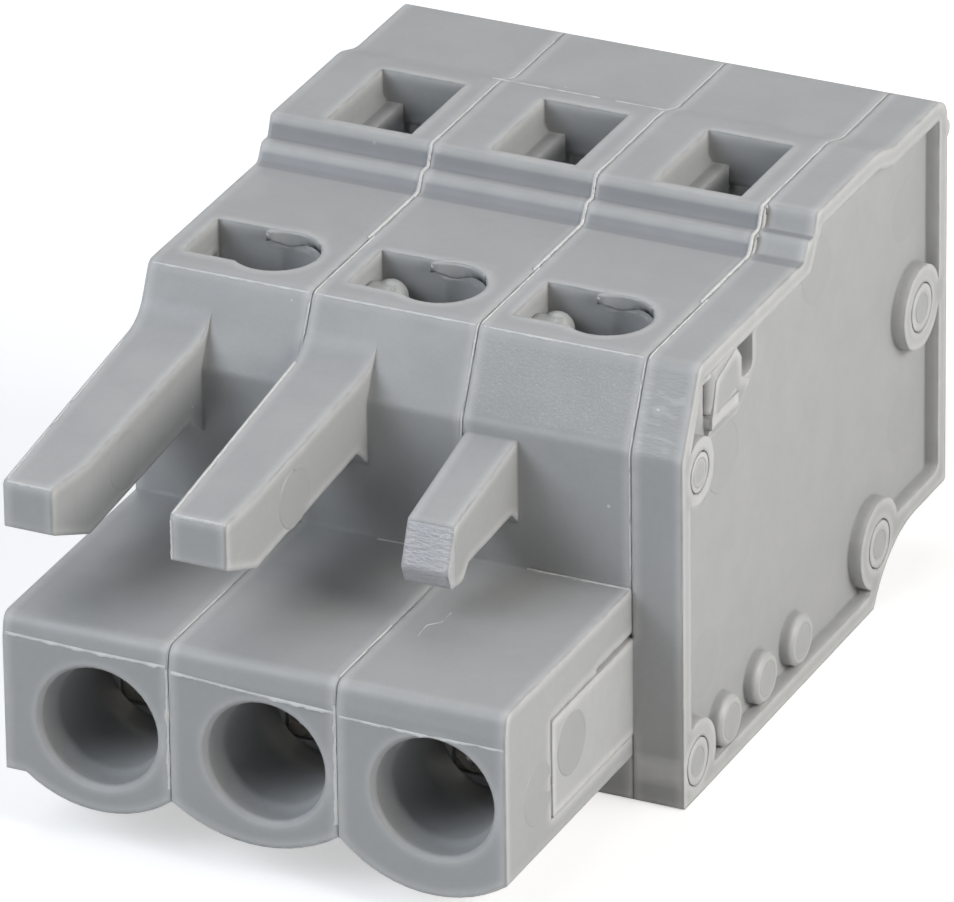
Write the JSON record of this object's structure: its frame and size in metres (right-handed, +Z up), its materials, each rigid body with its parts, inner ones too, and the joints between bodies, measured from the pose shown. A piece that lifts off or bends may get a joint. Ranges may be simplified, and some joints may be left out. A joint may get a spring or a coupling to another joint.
{
  "type": "female power connector",
  "caption": "Grey stacked female connector with round sockets, coding fingers, test and operating openings, and cage clamps for stripped wires.",
  "frame": {"origin": "under the middle of the connector's box, on the plane of its flat bottom", "axes": "+X across the poles towards the end cover, +Y from the mating face to the wire side, +Z up"},
  "size_m": [0.0164, 0.0264, 0.0141],
  "materials": {
    "housing_grey": "fine moulded satin",
    "contact_tin": "tin plated copper alloy",
    "spring_steel": "bright rolled strip"
  },
  "bodies": {
    "root": {"pole_housing_1": "housing_grey", "pole_housing_2": "housing_grey", "pole_housing_3": "housing_grey", "end_cover": "housing_grey", "contact_1": "contact_tin", "contact_2": "contact_tin", "contact_3": "contact_tin"},
    "clamp_1": {"clamp_spring_1": "spring_steel"},
    "clamp_2": {"clamp_spring_2": "spring_steel"},
    "clamp_3": {"clamp_spring_3": "spring_steel"}
  },
  "joints": [
    {"name": "clamp_1_open", "type": "hinge", "parent": "root", "child": "clamp_1", "pos_m": [-0.00545, 0.00016, 0.00894], "axis": [-1, 0, 0], "range_deg": [0, 18], "stiffness_Nm_per_rad": 0.6, "deforming": ["clamp_spring_1"]},
    {"name": "clamp_2_open", "type": "hinge", "parent": "root", "child": "clamp_2", "pos_m": [-0.00045, 0.00016, 0.00894], "axis": [-1, 0, 0], "range_deg": [0, 18], "stiffness_Nm_per_rad": 0.6, "deforming": ["clamp_spring_2"]},
    {"name": "clamp_3_open", "type": "hinge", "parent": "root", "child": "clamp_3", "pos_m": [0.00455, 0.00016, 0.00894], "axis": [-1, 0, 0], "range_deg": [0, 18], "stiffness_Nm_per_rad": 0.6, "deforming": ["clamp_spring_3"]}
  ]
}
